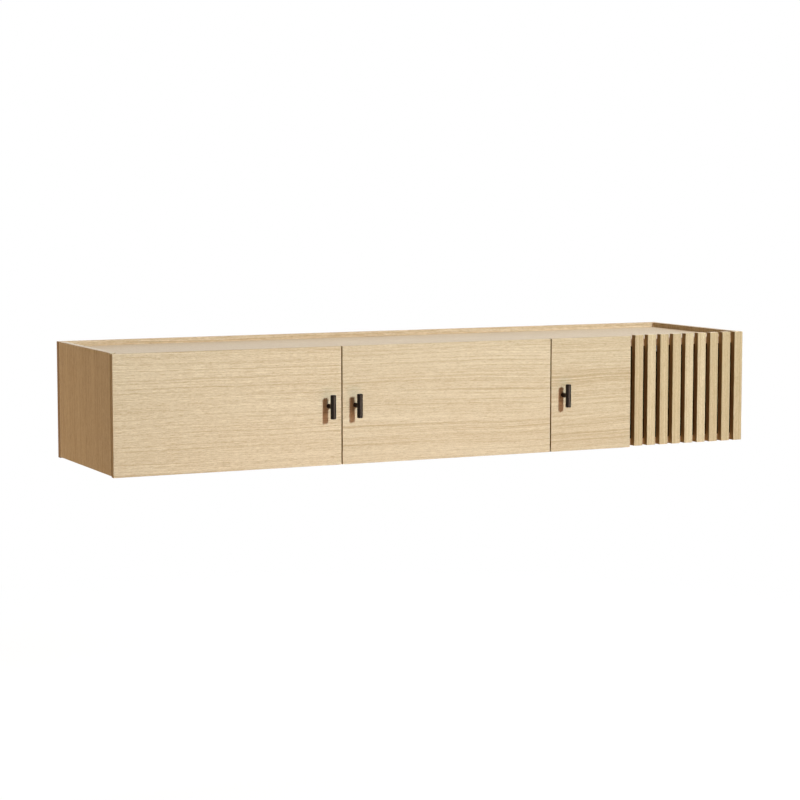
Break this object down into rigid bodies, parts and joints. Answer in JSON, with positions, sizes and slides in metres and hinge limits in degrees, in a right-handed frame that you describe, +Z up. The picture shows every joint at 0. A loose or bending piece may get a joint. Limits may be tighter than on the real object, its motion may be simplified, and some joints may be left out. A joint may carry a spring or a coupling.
{
  "type": "floating media console",
  "caption": "Long wall-hung cabinet with flush doors on concealed hinges, black T-bar knobs, upright slats at one end and a shallow tray top.",
  "frame": {"origin": "middle of the back panel's rear face, on the wall", "axes": "+X to the right along the length, +Y towards the wall, +Z up"},
  "size_m": [1.8, 0.4857, 0.3],
  "materials": {
    "oak_veneer": "matt lacquered oak veneer with fine straight grain",
    "oak_inside": "matt oak veneer on the inner boards",
    "tray_veneer": "satin lacquered oak veneer",
    "black_metal": "satin black-brown coating",
    "nickel_steel": "nickel-plated steel",
    "zinc_steel": "zinc-plated steel",
    "black_plastic": "moulded black plastic"
  },
  "bodies": {
    "carcass": {"left_side_panel": "oak_veneer", "right_side_panel": "oak_veneer", "top_panel": "tray_veneer", "bottom_panel": "oak_veneer", "back_panel": "oak_veneer", "divider_1": "oak_inside", "divider_2": "oak_inside", "hinge_stile": "oak_inside", "slat_1": "oak_veneer", "slat_2": "oak_veneer", "slat_3": "oak_veneer", "slat_4": "oak_veneer", "slat_5": "oak_veneer", "slat_6": "oak_veneer", "slat_7": "oak_veneer", "slat_8": "oak_veneer", "slat_9": "oak_veneer", "cable_grommet_1": "black_plastic", "cable_grommet_2": "black_plastic", "cable_grommet_3": "black_plastic", "left_hanger": "zinc_steel", "left_wall_plate": "zinc_steel", "right_hanger": "zinc_steel", "right_wall_plate": "zinc_steel", "left_door_lower_hinge_arm": "nickel_steel", "left_door_lower_hinge_plate": "nickel_steel", "left_door_upper_hinge_arm": "nickel_steel", "left_door_upper_hinge_plate": "nickel_steel", "middle_door_lower_hinge_arm": "nickel_steel", "middle_door_lower_hinge_plate": "nickel_steel", "middle_door_upper_hinge_arm": "nickel_steel", "middle_door_upper_hinge_plate": "nickel_steel", "right_door_lower_hinge_arm": "nickel_steel", "right_door_lower_hinge_plate": "nickel_steel", "right_door_upper_hinge_arm": "nickel_steel", "right_door_upper_hinge_plate": "nickel_steel"},
    "left_door": {"left_door_panel": "oak_veneer", "left_door_knob_bar": "black_metal", "left_door_knob_stem": "black_metal", "left_door_knob_screw": "zinc_steel", "left_door_lower_hinge_cup": "nickel_steel", "left_door_lower_hinge_pin": "zinc_steel", "left_door_upper_hinge_cup": "nickel_steel", "left_door_upper_hinge_pin": "zinc_steel"},
    "middle_door": {"middle_door_panel": "oak_veneer", "middle_door_knob_bar": "black_metal", "middle_door_knob_stem": "black_metal", "middle_door_knob_screw": "zinc_steel", "middle_door_lower_hinge_cup": "nickel_steel", "middle_door_lower_hinge_pin": "zinc_steel", "middle_door_upper_hinge_cup": "nickel_steel", "middle_door_upper_hinge_pin": "zinc_steel"},
    "right_door": {"right_door_panel": "oak_veneer", "right_door_knob_bar": "black_metal", "right_door_knob_stem": "black_metal", "right_door_knob_screw": "zinc_steel", "right_door_lower_hinge_cup": "nickel_steel", "right_door_lower_hinge_pin": "zinc_steel", "right_door_upper_hinge_cup": "nickel_steel", "right_door_upper_hinge_pin": "zinc_steel"}
  },
  "joints": [
    {"name": "left_door_swing", "type": "hinge", "parent": "carcass", "child": "left_door", "pos_m": [-0.894, -0.444, -0.001], "axis": [0, 0, -1], "range_deg": [0, 95]},
    {"name": "middle_door_swing", "type": "hinge", "parent": "carcass", "child": "middle_door", "pos_m": [0.2925, -0.444, -0.001], "axis": [0, 0, 1], "range_deg": [0, 95]},
    {"name": "right_door_swing", "type": "hinge", "parent": "carcass", "child": "right_door", "pos_m": [0.5376, -0.444, -0.001], "axis": [0, 0, 1], "range_deg": [0, 95]}
  ]
}
